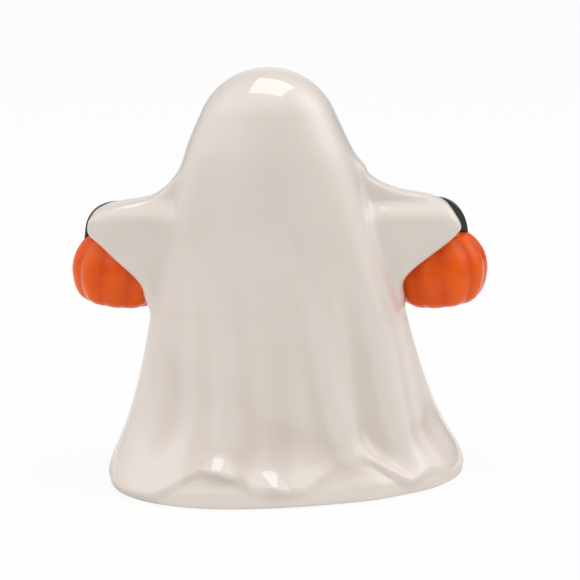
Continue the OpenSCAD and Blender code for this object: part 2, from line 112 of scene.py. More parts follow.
# Thickness of an arm: share of its height, share of its full thickness
THICKNESS = [
    (0, 0.85), (0.3, 1), (0.61, 1), (0.68, 0.95), (0.73, 0.82), (0.77, 0.66), (0.81, 0.56), (0.89, 0.58),
    (1, 0.72), (1.2, 0.9),
]
# Folds: angle at the hem, drift towards the shoulder, half-width, share of the depth (negative is a valley)
FOLDS = [
    (8, 0, 14, 0.3), (32, -10, 12, -0.8), (60, -12, 15, 0.8), (88, 0, 20, -0.45), (132, -30, 13, 0.9),
    (148, -19, 11, -1), (158, -14, 9, 0.9), (174, -8, 9, -0.6), (205, 4, 13, 0.8), (228, 2, 12, -0.8),
    (250, -2, 13, 0.7), (276, 0, 14, -0.6), (300, 2, 12, 0.8), (324, -2, 12, -0.8), (344, -6, 12, 0.6),
]
# Flare of the hem's edge: angle, drift up the flare, half-width, share of its depth
FLARES = [
    (32, 0, 22, 0.5), (82, 0, 44, 0.3), (59, -4, 12, 1.2), (87, -8, 7, 0.6), (148, -4, 14, 0.6),
    (214, 0, 20, 0.6), (272, 0, 24, 0.6), (322, 0, 20, 0.6),
]
# Arches of the hem: first angle, crest, last angle, share of the rise
ARCHES = [
    (36.5, 55, 86.5, 0.85), (38, 81, 122, 0.34), (87, 130.5, 154, 0.96), (143, 160, 171, 0.37),
    (184, 202, 222, 0.55), (226, 246, 268, 0.5), (276, 298, 320, 0.6), (324, 342, 360, 0.45),
]
# Outside of a pail from its underside to its mouth: share of the height, share of its half-width
PAIL = [
    (0, 0.35), (0.005, 0.6), (0.05, 0.74), (0.15, 0.865), (0.31, 0.957), (0.5, 1), (0.67, 0.965),
    (0.82, 0.865), (0.93, 0.745), (0.98, 0.65),
]
# Teeth of a pail's grin: shares of half its width
TEETH = (0.18, 0.26, 0.42, 0.5)
# Drop, height, taper and tooth of the grin: shares of its eyes' height
GRIN = (2.1, 1.02, 0.75, 0.5)
# Half an eye's width, as a share of a quarter of the grin's
EYE_SPAN = 0.55

# Soft lights round the studio: bearing from the camera to the picture's right, height in degrees, strength
WALLS = [
    (30, 3, 0.44), (240, 3, 0.68), (330, 3, 0.49), (90, 35, 2.42), (270, 35, 1.16), (315, 35, 0.92),
    (0, 65, 1.0), (180, 12, 0.8),
]
# How closely each of them gathers round its middle, and their tint
WALL_FOCUS = 9.0
ROOM_TINT = (1, 0.985, 0.965, 1)
# The soft box over the figure: its place in metres, its turn, its width and its depth
TOP_BOX_PLACE = (-0.049, -0.05, 1.04)
TOP_BOX_TURN = math.radians(-20)
TOP_BOX_SIZE = (0.6, 0.645)

# Roundness of the grooves between a pail's ribs; shares of its half-width where they begin and are full
GROOVE_SOFTNESS = 0.02
RIB_START = 0.25
RIB_FULL = 0.75
# Share of a strap's length in each leg that goes down into the pail
STRAP_LEG = 0.08
# Powers of the ovals of an arm and of the torso: 2 is an ellipse and a higher one is squarer
ARM_BLUNT = 7
TORSO_SQUARE = 2.2
# Powers of the joins of the arms with the torso and of the hem's arches: a higher one is sharper
JOIN_SOFT = 10
ARCH_SOFT = 6
# Fullness of an arch: lower is fuller
ARCH_ROUND = 0.75
# Share of the folds that is left at the foot's edge, share of the arms that is gone at the crown
FOOT_FOLD = 0.1
CROWN_FADE = 0.99
# Power of the fading of the folds towards the shoulder
FOLD_FADE = 1.2
# Seam between neighbours, rounding of the edges and reach of a merge, in metres
SEAM = 0.00008
EDGE = 0.001
MERGE = EDGE / 200
# Angle of the face, and the sides of the figure: its left arm is along +X
FRONT = math.radians(270)
SIDES = ((1, "left"), (-1, "right"))


def length_value(name, description, default):
    """A length in metres"""
    return FloatProperty(name=name, description=description, default=default, unit="LENGTH")


def angle_value(name, description, degrees):
    return FloatProperty(name=name, description=description, default=math.radians(degrees), subtype="ANGLE")


def colour_value(name, description, default):
    return FloatVectorProperty(name=name, description=description, default=default, subtype="COLOR", size=3)


class FigureShape(bpy.types.PropertyGroup):
    """Sizes of the casting"""

    figure_height: length_value("Height", "Foot to crown", 0.1514)
    skirt_width: length_value("Skirt width", "Width at the hem", 0.135)
    skirt_depth: length_value("Skirt depth", "Depth at the hem", 0.083)
    skirt_turn: angle_value("Skirt turn", "Turn of the skirt's long axis", 13)
    wall: length_value("Wall", "Thickness of the casting", 0.0042)
    crown_radius: length_value("Crown", "Radius of the crown", 0.0262)
    crown_taper: angle_value("Crown taper", "Slope where the crown ends", 23)
    head_lean: length_value("Head lean", "Lean of the head", 0.0046)
    foot_lean: length_value("Foot lean", "Lean of the foot", 0.0028)
    left_reach: length_value("Left reach", "Reach of the left arm", 0.07)
    right_reach: length_value("Right reach", "Reach of the right arm", 0.0652)
    arm_low: length_value("Arm foot", "Height where arms begin", 0.066)
    left_shoulder: length_value("Left shoulder", "Height of the left shoulder", 0.1135)
    right_shoulder: length_value("Right shoulder", "Height of the right shoulder", 0.1165)
    arm_thickness: length_value("Arm", "Thickness of the arms", 0.019)
    fold_depth: length_value("Folds", "Depth of the deepest fold", 0.0032)
    hem_low: length_value("Hem", "Height of the lowest hem", 0.0022)
    hem_rise: length_value("Hem rise", "Rise of the tallest arch", 0.0119)
    flare_depth: length_value("Flare", "Kick of the cloth at the hem", 0.0034)
    flare_rise: length_value("Flare rise", "Height of the kick", 0.007)
    hem_roll: length_value("Hem roll", "Height of the rolled edge", 0.0042)
    hem_step: length_value("Hem step", "Set-back under the hem", 0.001)
    plate_thickness: length_value("Base plate", "Thickness of the base plate", 0.004)
    plate_recess: length_value("Plate recess", "Height of the base plate above the foot", 0.0012)
    vent_diameter: length_value("Vent", "Diameter of the vent", 0.012)
    pad_proud: length_value("Pads", "Drop of the felt pads", 0.0006)
    pad_diameter: length_value("Pad", "Diameter of a felt pad", 0.011)
    pad_inset: length_value("Pad inset", "Distance of the pads from the skirt's sides", 0.028)


class PailShape(bpy.types.PropertyGroup):
    """Sizes of the pails and their straps"""

    left_x: length_value("Left pail", "Distance from the middle", 0.0612)
    right_x: length_value("Right pail", "Distance from the middle", 0.0602)
    forward: length_value("Forward", "Distance before the arms", 0.0105)
    foot: length_value("Pail foot", "Height of the underside", 0.0632)
    tilt: angle_value("Tilt", "Tilt of the pails", 6.5)
    diameter: length_value("Diameter", "Widest diameter", 0.036)
    height: length_value("Height", "Height of a pail", 0.0256)
    mouth: length_value("Mouth", "Diameter of the mouth", 0.018)
    mouth_depth: length_value("Mouth depth", "Depth of the mouth", 0.005)
    rib_depth: length_value("Rib depth", "Depth of the grooves", 0.0011)
    rib_count: IntProperty(name="Ribs", description="Number of ribs", default=10, min=4)
    left_rib_turn: angle_value("Left ribs", "Turn of the left ribs", 90)
    right_rib_turn: angle_value("Right ribs", "Turn of the right ribs", 108)
    left_strap_reach: length_value("Left span", "Half span", 0.0142)
    right_strap_reach: length_value("Right span", "Half span", 0.0119)
    left_strap_rise: length_value("Left rise", "Rise of the strap", 0.0121)
    right_strap_rise: length_value("Right rise", "Rise of the strap", 0.0139)
    left_strap_bow: FloatProperty(name="Left bow", description="Fullness of the curve", default=2.4)
    right_strap_bow: FloatProperty(name="Right bow", description="Fullness of the curve", default=2.2)
    left_strap_thickness: length_value("Left strap", "Thickness of the strap", 0.0024)
    right_strap_thickness: length_value("Right strap", "Thickness of the strap", 0.0032)
    strap_width: length_value("Strap width", "Width of a strap", 0.004)
    strap_drop: length_value("Strap drop", "Drop of the ends", 0.004)


class FaceShape(bpy.types.PropertyGroup):
    """Sizes of the black details"""

    eye_width: length_value("Eye width", "Width of an eye", 0.0076)
    eye_height: length_value("Eye height", "Height of an eye", 0.011)
    eye_z: length_value("Eyes", "Height of the eyes", 0.122)
    eye_turn: angle_value("Eye turn", "Angle from the middle", 20)
    mouth_width: length_value("Mouth width", "Width of the mouth", 0.0064)
    mouth_height: length_value("Mouth height", "Height of the mouth", 0.0076)
    mouth_z: length_value("Mouth", "Height of the mouth's middle", 0.107)
    carve_width: length_value("Grin width", "Width of a pail's grin", 0.017)
    carve_height: length_value("Pail eyes", "Height of a pail's eyes", 0.0044)
    carve_z: length_value("Pail face", "Height on the pail", 0.0138)
    relief: length_value("Relief", "How far the details stand proud", 0.0007)


class GlazeColours(bpy.types.PropertyGroup):
    """Colours of the finishes"""

    white: colour_value("White glaze", "Body glaze", (0.812, 0.742, 0.695))
    # The thin glaze's colour also serves as painted shade in the folds' hollows
    thin_glaze_and_fold_shade: colour_value("Thin glaze", "Glaze where it is thin", (0.71, 0.635, 0.585))
    orange: colour_value("Orange glaze", "Pail glaze", (0.96, 0.138, 0.004))
    deep_orange: colour_value("Deep orange", "Glaze pooled in the grooves", (0.7, 0.06, 0.001))
    black: colour_value("Black glaze", "Straps and faces", (0.012, 0.0115, 0.011))
    bisque: colour_value("Bisque", "Unglazed clay", (0.62, 0.5, 0.39))
    felt: colour_value("Felt", "Felt pads", (0.055, 0.05, 0.048))


class StudioSettings(bpy.types.PropertyGroup):
    """Camera and light"""

    distance: length_value("Distance", "Camera to aim", 0.7)
    elevation: angle_value("Elevation", "Camera above the horizon", 12.5)
    aim_x: length_value("Aim across", "Aim across the figure", -0.0033)
    aim_z: length_value("Aim height", "Aim above the floor", 0.0705)
    lens: FloatProperty(name="Lens", description="Focal length in millimetres", default=118.5)
    key_power: FloatProperty(name="Top lamp", description="Power of the top lamp in watts", default=3.1)
    room: FloatProperty(name="Room", description="Strength of the studio's walls", default=1.0)


def ease(x):
    """Smooth step from 0 to 1"""
    t = np.clip(x, 0, 1)
    return t * t * (3 - 2 * t)


def lerp(a, b, share):
    return a + (b - a) * share


def through(rows, x):
    """Smooth curve through the rows of a table"""
    xs, ys = np.asarray(rows, float).T
    last = len(xs) - 1
    before = np.maximum(np.arange(last + 1) - 1, 0)
    after = np.minimum(np.arange(last + 1) + 1, last)
    slopes = (ys[after] - ys[before]) / (xs[after] - xs[before])
    x = np.clip(x, xs[0], xs[-1])
    i = np.clip(np.searchsorted(xs, x, side="right") - 1, 0, last - 1)
    span = xs[i + 1] - xs[i]
    t = (x - xs[i]) / span
    rise = ys[i + 1] - ys[i]
    a = slopes[i] * span - rise
    b = rise - slopes[i + 1] * span
    return ys[i] + rise * t + t * (1 - t) * (a * (1 - t) + b * t)


def oval(angle, half_x, half_y, power):
    """Radius of an oval at an angle: a power of 2 is an ellipse and a higher one is squarer"""
    across = np.abs(np.cos(angle)) / half_x
    along = np.abs(np.sin(angle)) / half_y
    return (across**power + along**power) ** (-1 / power)


def placed(radius, angle, z, middle=0.0):
    """Points at a radius and an angle round an upright axis that stands at x = middle"""
    across = middle + radius * np.cos(angle)
    return np.stack(np.broadcast_arrays(across, radius * np.sin(angle), z), -1)


def hump(x):
    return np.where(np.abs(x) < 1, np.cos(x * math.pi / 2) ** 2, 0)


def humps(rows, angle, climb):
    """Sum of a table's humps round the figure, each of which drifts with the climb"""
    degrees = np.degrees(angle)
    total = np.zeros(np.broadcast(angle, climb).shape)
    for at, drift, half, share in rows:
        away = degrees - at - drift * climb
        total = total + share * hump((away - 360 * np.round(away / 360)) / half)
    return total


class Skin:
    """The casting's skin by the rule of the part's source, for arrays of angles and heights"""

    def __init__(self, shape):
        self.shape = shape
        self.crown_z = shape.figure_height - shape.crown_radius
        self.crown_join = self.crown_z + shape.crown_radius * math.sin(shape.crown_taper)
        self.plate_top = shape.plate_recess + shape.plate_thickness
        self.hem_top = shape.hem_low + shape.hem_rise
        self.flank = [(z * shape.figure_height, share * shape.skirt_width / 2) for z, share in FLANK]
        self.flank.append((self.crown_join, shape.crown_radius * math.cos(shape.crown_taper)))

    def middle(self, z):
        s = self.shape
        return lerp(-s.foot_lean, s.head_lean, through(LEAN, z / s.figure_height))

    def torso_half(self, z, inset):
        crown = (self.shape.crown_radius - inset) ** 2 - (z - self.crown_z) ** 2
        crown = np.sqrt(np.maximum(crown, EDGE**2 / 100))
        return np.where(z > self.crown_join, crown, through(self.flank, z) - inset)

    def arm_share(self, z, shoulder):
        return (z - self.shape.arm_low) / (shoulder - self.shape.arm_low)

    def arm_reach(self, z, table, reach, shoulder, inset):
        shares = [through(table, self.arm_share(z + d, shoulder)) for d in (-inset, 0, inset)]
        return reach * np.minimum.reduce(shares) - inset

    def hem_z(self, angle):
        degrees = np.degrees(angle) % 360
        total = np.zeros_like(degrees)
        for first, crest, last, share in ARCHES:
            span = np.where(degrees < crest, crest - first, last - crest)
            total = total + (share * hump((degrees - crest) / span) ** ARCH_ROUND) ** ARCH_SOFT
        return self.shape.hem_low + self.shape.hem_rise * total ** (1 / ARCH_SOFT)

    def smooth_radius(self, angle, z, inset=0.0):
        """Radius before the hem's roll and flare, on a skin that is set in by the inset"""
        s = self.shape
        half = self.torso_half(z, inset)
        flat = through(DEPTH, z / s.figure_height) * s.skirt_depth / s.skirt_width / DEPTH[0][1]
        deep = half * flat - inset * (1 - flat) * np.minimum(half / s.crown_radius, 1)
        middle = self.middle(z)
        left = self.arm_reach(z, LEFT_ARM, s.left_reach, s.left_shoulder, inset)
        left = np.maximum(left - middle, EDGE)
        right = self.arm_reach(z, RIGHT_ARM, s.right_reach, s.right_shoulder, inset)
        right = np.maximum(right + middle, EDGE)
        thick = s.arm_thickness / 2 * through(THICKNESS, self.arm_share(z + inset, s.left_shoulder)) - inset
        turned = angle - s.skirt_turn * (1 - ease(z / s.arm_low))
        torso = oval(turned, half, deep, TORSO_SQUARE)
        fade = 1 - ease((z - self.crown_join) / (s.figure_height - self.crown_join)) * CROWN_FADE
        reach = np.where(np.cos(angle) > 0, left, right)
        arm = fade * oval(angle, reach, np.maximum(thick, EDGE), ARM_BLUNT)
        joined = (torso**JOIN_SOFT + arm**JOIN_SOFT) ** (1 / JOIN_SOFT)
        strength = s.fold_depth * (1 - ease(z / s.left_shoulder)) ** FOLD_FADE
        strength = strength * lerp(FOOT_FOLD, 1, ease(z / self.hem_top / 2))
        return joined + strength * humps(FOLDS, angle, z / s.left_shoulder)

    def radius(self, angle, z):
        """Radius of the finished skin, with the hem's roll and flare and the foot's rounded edge"""
        s = self.shape
        hem = self.hem_z(angle)
        under = ease((hem - z) / s.hem_roll + 1 / 2)
        cut = np.where(z < EDGE, EDGE - np.sqrt(np.maximum(EDGE**2 - (EDGE - z) ** 2, 0)), 0)
        up = (z - hem) / s.flare_rise
        flare = s.flare_depth * (1 - ease(up)) * humps(FLARES, angle, up)
        cloth = flare * (1 - under) - s.hem_step * under
        return self.smooth_radius(angle, z) + cloth - cut

    def points(self, angle, z, radius):
        return placed(radius, angle, z + self.shape.pad_proud, self.middle(z))

    def surface(self, angle, z, proud=0.0):
        return self.points(angle, z, self.radius(angle, z) + proud)


def around(count, crowding):
    """Angles round the figure, closer together at its sides as the crowding grows"""
    even = 2 * math.pi * np.arange(count) / count
    return even - crowding / 2 * np.sin(2 * even)


def grid_faces(first, rows, count):
    """Quads between rows of points that close round"""
    j, i = np.meshgrid(np.arange(rows - 1), np.arange(count), indexing="ij")
    a = first + j * count + i
    b = first + j * count + (i + 1) % count
    return np.stack([a, b, b + count, a + count], -1).reshape(-1, 4).tolist()


def fan_faces(first, count, tip):
    return [(first + i, first + (i + 1) % count, tip) for i in range(count)]


def dome_faces(first, rows, count):
    """Rows of points that close round, with the point after them as their tip"""
    tip = first + rows * count
    return grid_faces(first, rows, count) + fan_faces(tip - count, count, tip)


def flipped(faces):
    return [tuple(reversed(face)) for face in faces]


def join_patches(patches):
    """Points and faces of several patches as one"""
    points, faces = [], []
    for part, corners in patches:
        first = sum(len(done) for done in points)
        points.append(part)
        faces += [tuple(first + i for i in face) for face in corners]
    return np.concatenate(points), faces


def add_piece(name, points, faces, finish):
    """A smooth mesh of points and faces, in the scene"""
    mesh = bpy.data.meshes.new(name)
    mesh.from_pydata(np.asarray(points).reshape(-1, 3).tolist(), [], faces)
    mesh.polygons.foreach_set("use_smooth", [True] * len(mesh.polygons))
    mesh.materials.append(finish)
    mesh.update()
    piece = bpy.data.objects.new(name, mesh)
    bpy.context.scene.collection.objects.link(piece)
    return piece


def keep_inside(piece):
    """Draw in a side of the piece that its finer mesh brings past the solids' box"""
    low, high = cad_box
    points = np.empty(len(piece.data.vertices) * 3)
    piece.data.vertices.foreach_get("co", points)
    points = points.reshape(-1, 3)
    for axis in (0, 1):
        for side, limit in ((1, high[axis]), (-1, -low[axis])):
            reach = (side * points[:, axis]).max()
            if reach > limit:
                points[side * points[:, axis] > 0, axis] *= limit / reach
    piece.data.vertices.foreach_set("co", points.ravel())
    piece.data.update()


def dress(piece, slot, *nodes):
    """A finished piece rides on the figure and stands for its solids; the slot is not used"""
    keep_inside(piece)
    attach(piece, BODY)
    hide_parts(*nodes)


def settled(piece):
    """The piece with its modifiers made part of its mesh"""
    bpy.context.view_layer.update()
    made = bpy.data.meshes.new_from_object(piece.evaluated_get(bpy.context.evaluated_depsgraph_get()))
    made.name = piece.name
    piece.modifiers.clear()
    old = piece.data
    piece.data = made
    bpy.data.meshes.remove(old)
    return piece


def cut_away(piece, *cutters):
    """The piece less its cutters, as a closed mesh of triangles"""
    for cutter in cutters:
        modifier = piece.modifiers.new("cut", "BOOLEAN")
        modifier.operation = "DIFFERENCE"
        modifier.solver = "EXACT"
        modifier.object = cutter
    piece.modifiers.new("weld", "WELD").merge_threshold = MERGE
    piece.modifiers.new("facets", "TRIANGULATE")
    return settled(piece)


def drop(helper):
    mesh = helper.data
    bpy.data.objects.remove(helper)
    bpy.data.meshes.remove(mesh)


class Nodes:
    """A tree of nodes, with short ways to add to it"""

    def __init__(self, tree):
        self.tree = tree

    def put(self, socket, value):
        """Link the socket to another node's, or set its value"""
        if hasattr(value, "links"):
            self.tree.links.new(value, socket)
        else:
            socket.default_value = value

    def node(self, kind, inputs=None, **settings):
        made = self.tree.nodes.new(kind)
        for name, value in settings.items():
            setattr(made, name, value)
        for name, value in (inputs or {}).items():
            self.put(made.inputs[name], value)
        return made

    def output(self, kind, inputs=None, **settings):
        return self.node(kind, inputs, **settings).outputs[0]

    def math(self, operation, *values, clamp=False):
        return self.output("ShaderNodeMath", dict(enumerate(values)), operation=operation, use_clamp=clamp)

    def white_to_camera(self, lit, white, share, surface):
        """Show the camera a share of white, and light everything else by the lit side"""
        to_camera = self.node("ShaderNodeLightPath").outputs["Is Camera Ray"]
        seen = self.math("MULTIPLY", to_camera, share)
        self.put(surface, self.output("ShaderNodeMixShader", {0: seen, 1: lit, 2: white}))


class Group(Nodes):
    """A node group with named sizes and results"""

    def __init__(self, name, kind, sizes, results):
        super().__init__(bpy.data.node_groups.new(name, kind))
        self.ids = {}
        for label, value in sizes.items():
            number = "NodeSocketInt" if isinstance(value, int) else "NodeSocketFloat"
            socket = self.tree.interface.new_socket(name=label, in_out="INPUT", socket_type=number)
            socket.default_value = value
            self.ids[label] = socket.identifier
        for label, result in results.items():
            self.tree.interface.new_socket(name=label, in_out="OUTPUT", socket_type=result)
        self.given = self.node("NodeGroupInput").outputs
        self.result = self.node("NodeGroupOutput").inputs


class Finish(Nodes):
    """The nodes of a new material"""

    def __init__(self, name):
        self.material = bpy.data.materials.new(name + FINISH)
        self.material.use_nodes = True
        super().__init__(self.material.node_tree)
        self.shader = self.tree.nodes["Principled BSDF"]

    def surface(self, inputs):
        for name, value in inputs.items():
            self.put(self.shader.inputs[name], value)

    def attribute(self, name):
        return self.node("ShaderNodeAttribute", attribute_name=name).outputs["Fac"]

    def mixed(self, mask, low, high):
        """Blend of two colours, each of them a node's output or three numbers"""
        low, high = (side if hasattr(side, "links") else (*side, 1) for side in (low, high))
        return self.node("ShaderNodeMix", {0: mask, 6: low, 7: high}, data_type="RGBA").outputs[2]


def glaze_group():
    """Cloudy thickness, orange-peel normal and pinholes of a fired glaze"""
    sizes = {"Cloud Scale": 30.0, "Peel Scale": 700.0, "Peel Depth": 0.00002, "Ripple Depth": 0.0001}
    results = {"Cloud": "NodeSocketFloat", "Pinholes": "NodeSocketFloat", "Normal": "NodeSocketVector"}
    group = Group("fired_glaze", "ShaderNodeTree", sizes, results)
    given = group.given
    place = group.node("ShaderNodeTexCoord").outputs["Object"]

    def noise(scale, detail):
        return group.output("ShaderNodeTexNoise", {"Vector": place, "Scale": scale, "Detail": detail})

    specks = group.node("ShaderNodeTexVoronoi", {"Vector": place, "Scale": 130}).outputs
    chosen = group.math("GREATER_THAN", specks["Color"], 0.93)
    near = group.math("LESS_THAN", specks["Distance"], 0.05)
    ripple = group.output("ShaderNodeBump", {"Height": noise(55, 1), "Distance": given["Ripple Depth"]})
    peel = group.output("ShaderNodeBump", {
        "Height": noise(given["Peel Scale"], 1), "Distance": given["Peel Depth"], "Normal": ripple,
    })
    group.put(group.result["Cloud"], noise(given["Cloud Scale"], 3))
    group.put(group.result["Pinholes"], group.math("MULTIPLY", chosen, near))
    group.put(group.result["Normal"], peel)
    return group.tree


def fired(name, group, scales, depths, rough):
    """A material with the glaze's normal; its roughness is the least one and what the cloud adds"""
    finish = Finish(name)
    labels = ("Cloud Scale", "Peel Scale", "Peel Depth", "Ripple Depth")
    sizes = dict(zip(labels, (*scales, *depths)))
    glaze = finish.node("ShaderNodeGroup", sizes, node_tree=group).outputs
    roughness = finish.math("MULTIPLY_ADD", glaze["Cloud"], rough[1], rough[0])
    finish.surface({"Roughness": roughness, "Normal": glaze["Normal"]})
    return finish, glaze


def white_glaze(group, colours):
    """Painted shade in the folds' hollows and painted light on their ridges, thin darker glaze where its
    cloud is strong, with a few dark pinholes near the foot
    """
    finish, glaze = fired(
        "white_glaze", group, scales=(28, 650), depths=(0.000012, 0.00008), rough=(0.04, 0.05)
    )
    thin_glaze_and_fold_shade = finish.math("MULTIPLY_ADD", glaze["Cloud"], 0.5, -0.12)
    # The recess paints shade into the folds' hollows and light onto their ridges
    thin_glaze_and_fold_shade = finish.math("MULTIPLY_ADD", finish.attribute("recess"), 0.6, thin_glaze_and_fold_shade, clamp=True)
    colour = finish.mixed(thin_glaze_and_fold_shade, colours.white, colours.thin_glaze_and_fold_shade)
    speck = finish.math("MULTIPLY", glaze["Pinholes"], finish.attribute("low"))
    colour = finish.mixed(speck, colour, [c * 0.35 for c in colours.thin_glaze_and_fold_shade])
    finish.surface({"Base Color": colour, "IOR": 1.52, "Coat Weight": 0.6, "Coat Roughness": 0.03})


def orange_glaze(group, colours):
    """Deeper where the cloud is strong and in the grooves between the ribs"""
    finish, glaze = fired(
        "orange_glaze", group, scales=(90, 500), depths=(0.00002, 0.00006), rough=(0.05, 0.06)
    )
    pooled = finish.math("MULTIPLY", finish.attribute("groove"), 0.35)
    pooled = finish.math("MULTIPLY_ADD", glaze["Cloud"], 1.1, pooled)
    pooled = finish.math("SUBTRACT", pooled, 0.25, clamp=True)
    colour = finish.mixed(pooled, colours.orange, colours.deep_orange)
    finish.surface({"Base Color": colour, "Specular IOR Level": 0.25})


def black_glaze(group, colours):
    """Nearly black, a little greyer where the cloud is strong"""
    finish, glaze = fired(
        "black_glaze", group, scales=(200, 600), depths=(0.00002, 0.00003), rough=(0.1, 0.12)
    )
    worn = [c * 2.6 + 0.01 for c in colours.black]
    finish.surface({"Base Color": finish.mixed(glaze["Cloud"], colours.black, worn)})


def bisque_clay(group, colours):
    """Rough bare clay, stained where the cloud is strong"""
    finish, glaze = fired(
        "bisque", group, scales=(60, 1500), depths=(0.00006, 0.0001), rough=(0.7, 0.2)
    )
    stained = [c * 0.72 for c in colours.bisque]
    finish.surface({"Base Color": finish.mixed(glaze["Cloud"], colours.bisque, stained)})


def felt_cloth(colours):
    """Dark felt with paler fibres"""
    finish = Finish("felt")
    place = finish.node("ShaderNodeTexCoord").outputs["Object"]
    fibres = finish.output("ShaderNodeTexNoise", {"Vector": place, "Scale": 1800, "Distortion": 2})
    pale = [c * 2.4 for c in colours.felt]
    finish.surface({
        "Base Color": finish.mixed(fibres, colours.felt, pale), "Roughness": 0.95, "Sheen Weight": 0.4,
        "Normal": finish.output("ShaderNodeBump", {"Height": fibres, "Distance": 0.0002}),
    })


def finishes():
    """The five finishes by slot, made once; the solids bring plain materials with the slots' own names"""
    slots = ("white_glaze", "orange_glaze", "black_glaze", "bisque", "felt")
    if slots[0] + FINISH not in bpy.data.materials:
        colours = bpy.context.scene.ghost_colours
        group = glaze_group()
        for fire in (white_glaze, orange_glaze, black_glaze, bisque_clay):
            fire(group, colours)
        felt_cloth(colours)
    return {slot: bpy.data.materials[slot + FINISH] for slot in slots}


def casting_heights(skin, angle):
    """Heights of the outer rows at each angle, from the foot up"""
    shape = skin.shape
    hem = skin.hem_z(angle)
    level = np.ones_like(angle)
    roll = shape.hem_roll * 0.55
    skirt_z = 0.03
    neck_z = shape.right_shoulder + EDGE * 3
    # The foot's edge, the set-back under the hem, the hem's roll and the skirt over it
    rows = [level * EDGE * (1 - math.cos(t * math.pi / 2)) for t in np.linspace(0, 1, 5)]
    rows += [lerp(EDGE, hem - roll, t) for t in np.linspace(0, 1, 9)[1:-1]]
    rows += [hem + roll * t for t in np.linspace(-1, 1, 17)]
    rows += [lerp(hem + roll, skirt_z, t**1.4) for t in np.linspace(0, 1, 30)[1:]]
    for low, high, count in (
        (skirt_z, shape.arm_low, 32), (shape.arm_low, neck_z, 76), (neck_z, skin.crown_join, 20),
    ):
        rows += [level * z for z in np.linspace(low, high, count + 1)[1:]]
    # The crown, up to a small ring round its top
    for t in np.arange(1, 27) / 26.7:
        rise = math.sin(lerp(shape.crown_taper, math.pi / 2, t))
        rows.append(level * (skin.crown_z + shape.crown_radius * rise))
    return np.array(rows)


def casting_cavity(skin, angle):
    """Rows of points on the cavity's wall, from the foot up"""
    shape = skin.shape
    heights = np.concatenate([
        [skin.plate_top], np.linspace(skin.hem_top, shape.right_shoulder, 12),
        skin.crown_z + (shape.crown_radius - shape.wall) * np.sin(np.radians([24, 45, 65, 80])),
    ])
    slices = np.concatenate([[skin.plate_top], heights])[:, None]
    radius = skin.smooth_radius(angle[None, :], slices, shape.wall) - shape.hem_step
    z = np.concatenate([[0], heights])[:, None] + shape.pad_proud
    return placed(radius, angle, z, skin.middle(slices))


def blurred(values, steps):
    """Mean over neighbouring samples, round the figure and up it"""
    total = sum(np.roll(values, i, axis=1) for i in range(-steps, steps + 1)) / (2 * steps + 1)
    padded = np.pad(total, ((steps, steps), (0, 0)), mode="edge")
    return sum(padded[i : i + len(values)] for i in range(2 * steps + 1)) / (2 * steps + 1)


def store_shares(piece, name, values):
    """Keep a share for each of the piece's first points, and none for the rest"""
    shares = np.zeros(len(piece.data.vertices))
    shares[: values.size] = values.reshape(-1)
    piece.data.attributes.new(name, "FLOAT", "POINT").data.foreach_set("value", shares)


class GHOST_OT_casting(bpy.types.Operator):
    """Build the hollow glazed casting"""

    bl_idname = "ghost.casting"
    bl_label = "Glazed casting"

    def execute(self, context):
        shape = context.scene.ghost_figure
        skin = Skin(shape)
        angle = around(384, 0.5)
        heights = casting_heights(skin, angle)
        radius = skin.radius(angle[None, :], heights)
        outer = skin.points(angle[None, :], heights, radius)
        inner = casting_cavity(skin, angle)
        top = np.array([skin.middle(shape.figure_height), 0, shape.figure_height + shape.pad_proud])
        inner_top = top - [0, 0, shape.wall]
        rows, count = radius.shape
        under = rows * count + 1
        faces = dome_faces(0, rows, count) + flipped(dome_faces(under, len(inner), count))
        faces += [(i, under + i, under + (i + 1) % count, (i + 1) % count) for i in range(count)]
        points = np.concatenate([outer.reshape(-1, 3), [top], inner.reshape(-1, 3), [inner_top]])
        piece = add_piece("casting", points, faces, finishes()["white_glaze"])
        # Painted shade is at its darkest in hollows of this depth and painted light at its brightest on
        # ridges of this height, below the arms
        full_hollow = 0.0006
        recess = np.clip((blurred(radius, 7) - radius) / full_hollow, -1, 1)
        recess = recess * (1 - ease((heights - shape.arm_low) / (shape.left_shoulder - shape.arm_low) * 2))
        store_shares(piece, "recess", recess)
        # Pinholes are at their strongest up to one height and gone at the other
        pinholes_top, clear = 0.004, 0.014
        store_shares(piece, "low", 1 - ease((heights - pinholes_top) / (clear - pinholes_top)))
        dress(piece, "white_glaze", "ghost_body")
        return {"FINISHED"}


class GHOST_OT_base(bpy.types.Operator):
    """Build the unglazed base plate with its vent"""

    bl_idname = "ghost.base_plate"
    bl_label = "Base plate"

    def execute(self, context):
        shape = context.scene.ghost_figure
        skin = Skin(shape)
        angle = around(256, 0.3)
        rim = skin.smooth_radius(angle, np.full_like(angle, skin.plate_top), shape.wall)
        rim = rim - shape.hem_step - SEAM
        centre = skin.middle(skin.plate_top)
        hole = shape.vent_diameter / 2
        low = shape.plate_recess + shape.pad_proud
        high = low + shape.plate_thickness
        soft = EDGE * 0.6
        # A row is its share of the way from the rim to the vent, its inset and its height
        bend = np.radians(np.linspace(0, 90, 5))
        corner = [(soft * (1 - math.sin(t)), soft * (1 - math.cos(t))) for t in bend]
        rows = [(0, inset, low + rise) for inset, rise in corner]
        rows += [(0, inset, high - fall) for fall, inset in corner]
        rows += [(share, 0, high) for share in (0.25, 0.5, 0.75)]
        rows += [(1, inset, high - fall) for inset, fall in corner]
        rows += [(1, inset, low + rise) for rise, inset in corner]
        rows += [(share, 0, low) for share in (0.75, 0.5, 0.25)]
        points = []
        for share, inset, z in rows:
            edge = placed(rim - inset, angle, z, centre)
            vent = placed(hole + inset, angle, z, -shape.foot_lean)
            points.append(lerp(edge, vent, share))
        points.append(points[0])
        piece = add_piece("base_slab", points, grid_faces(0, len(points), len(angle)), finishes()["bisque"])
        piece.modifiers.new("weld", "WELD").merge_threshold = MERGE
        dress(settled(piece), "bisque", "base_plate")
        return {"FINISHED"}


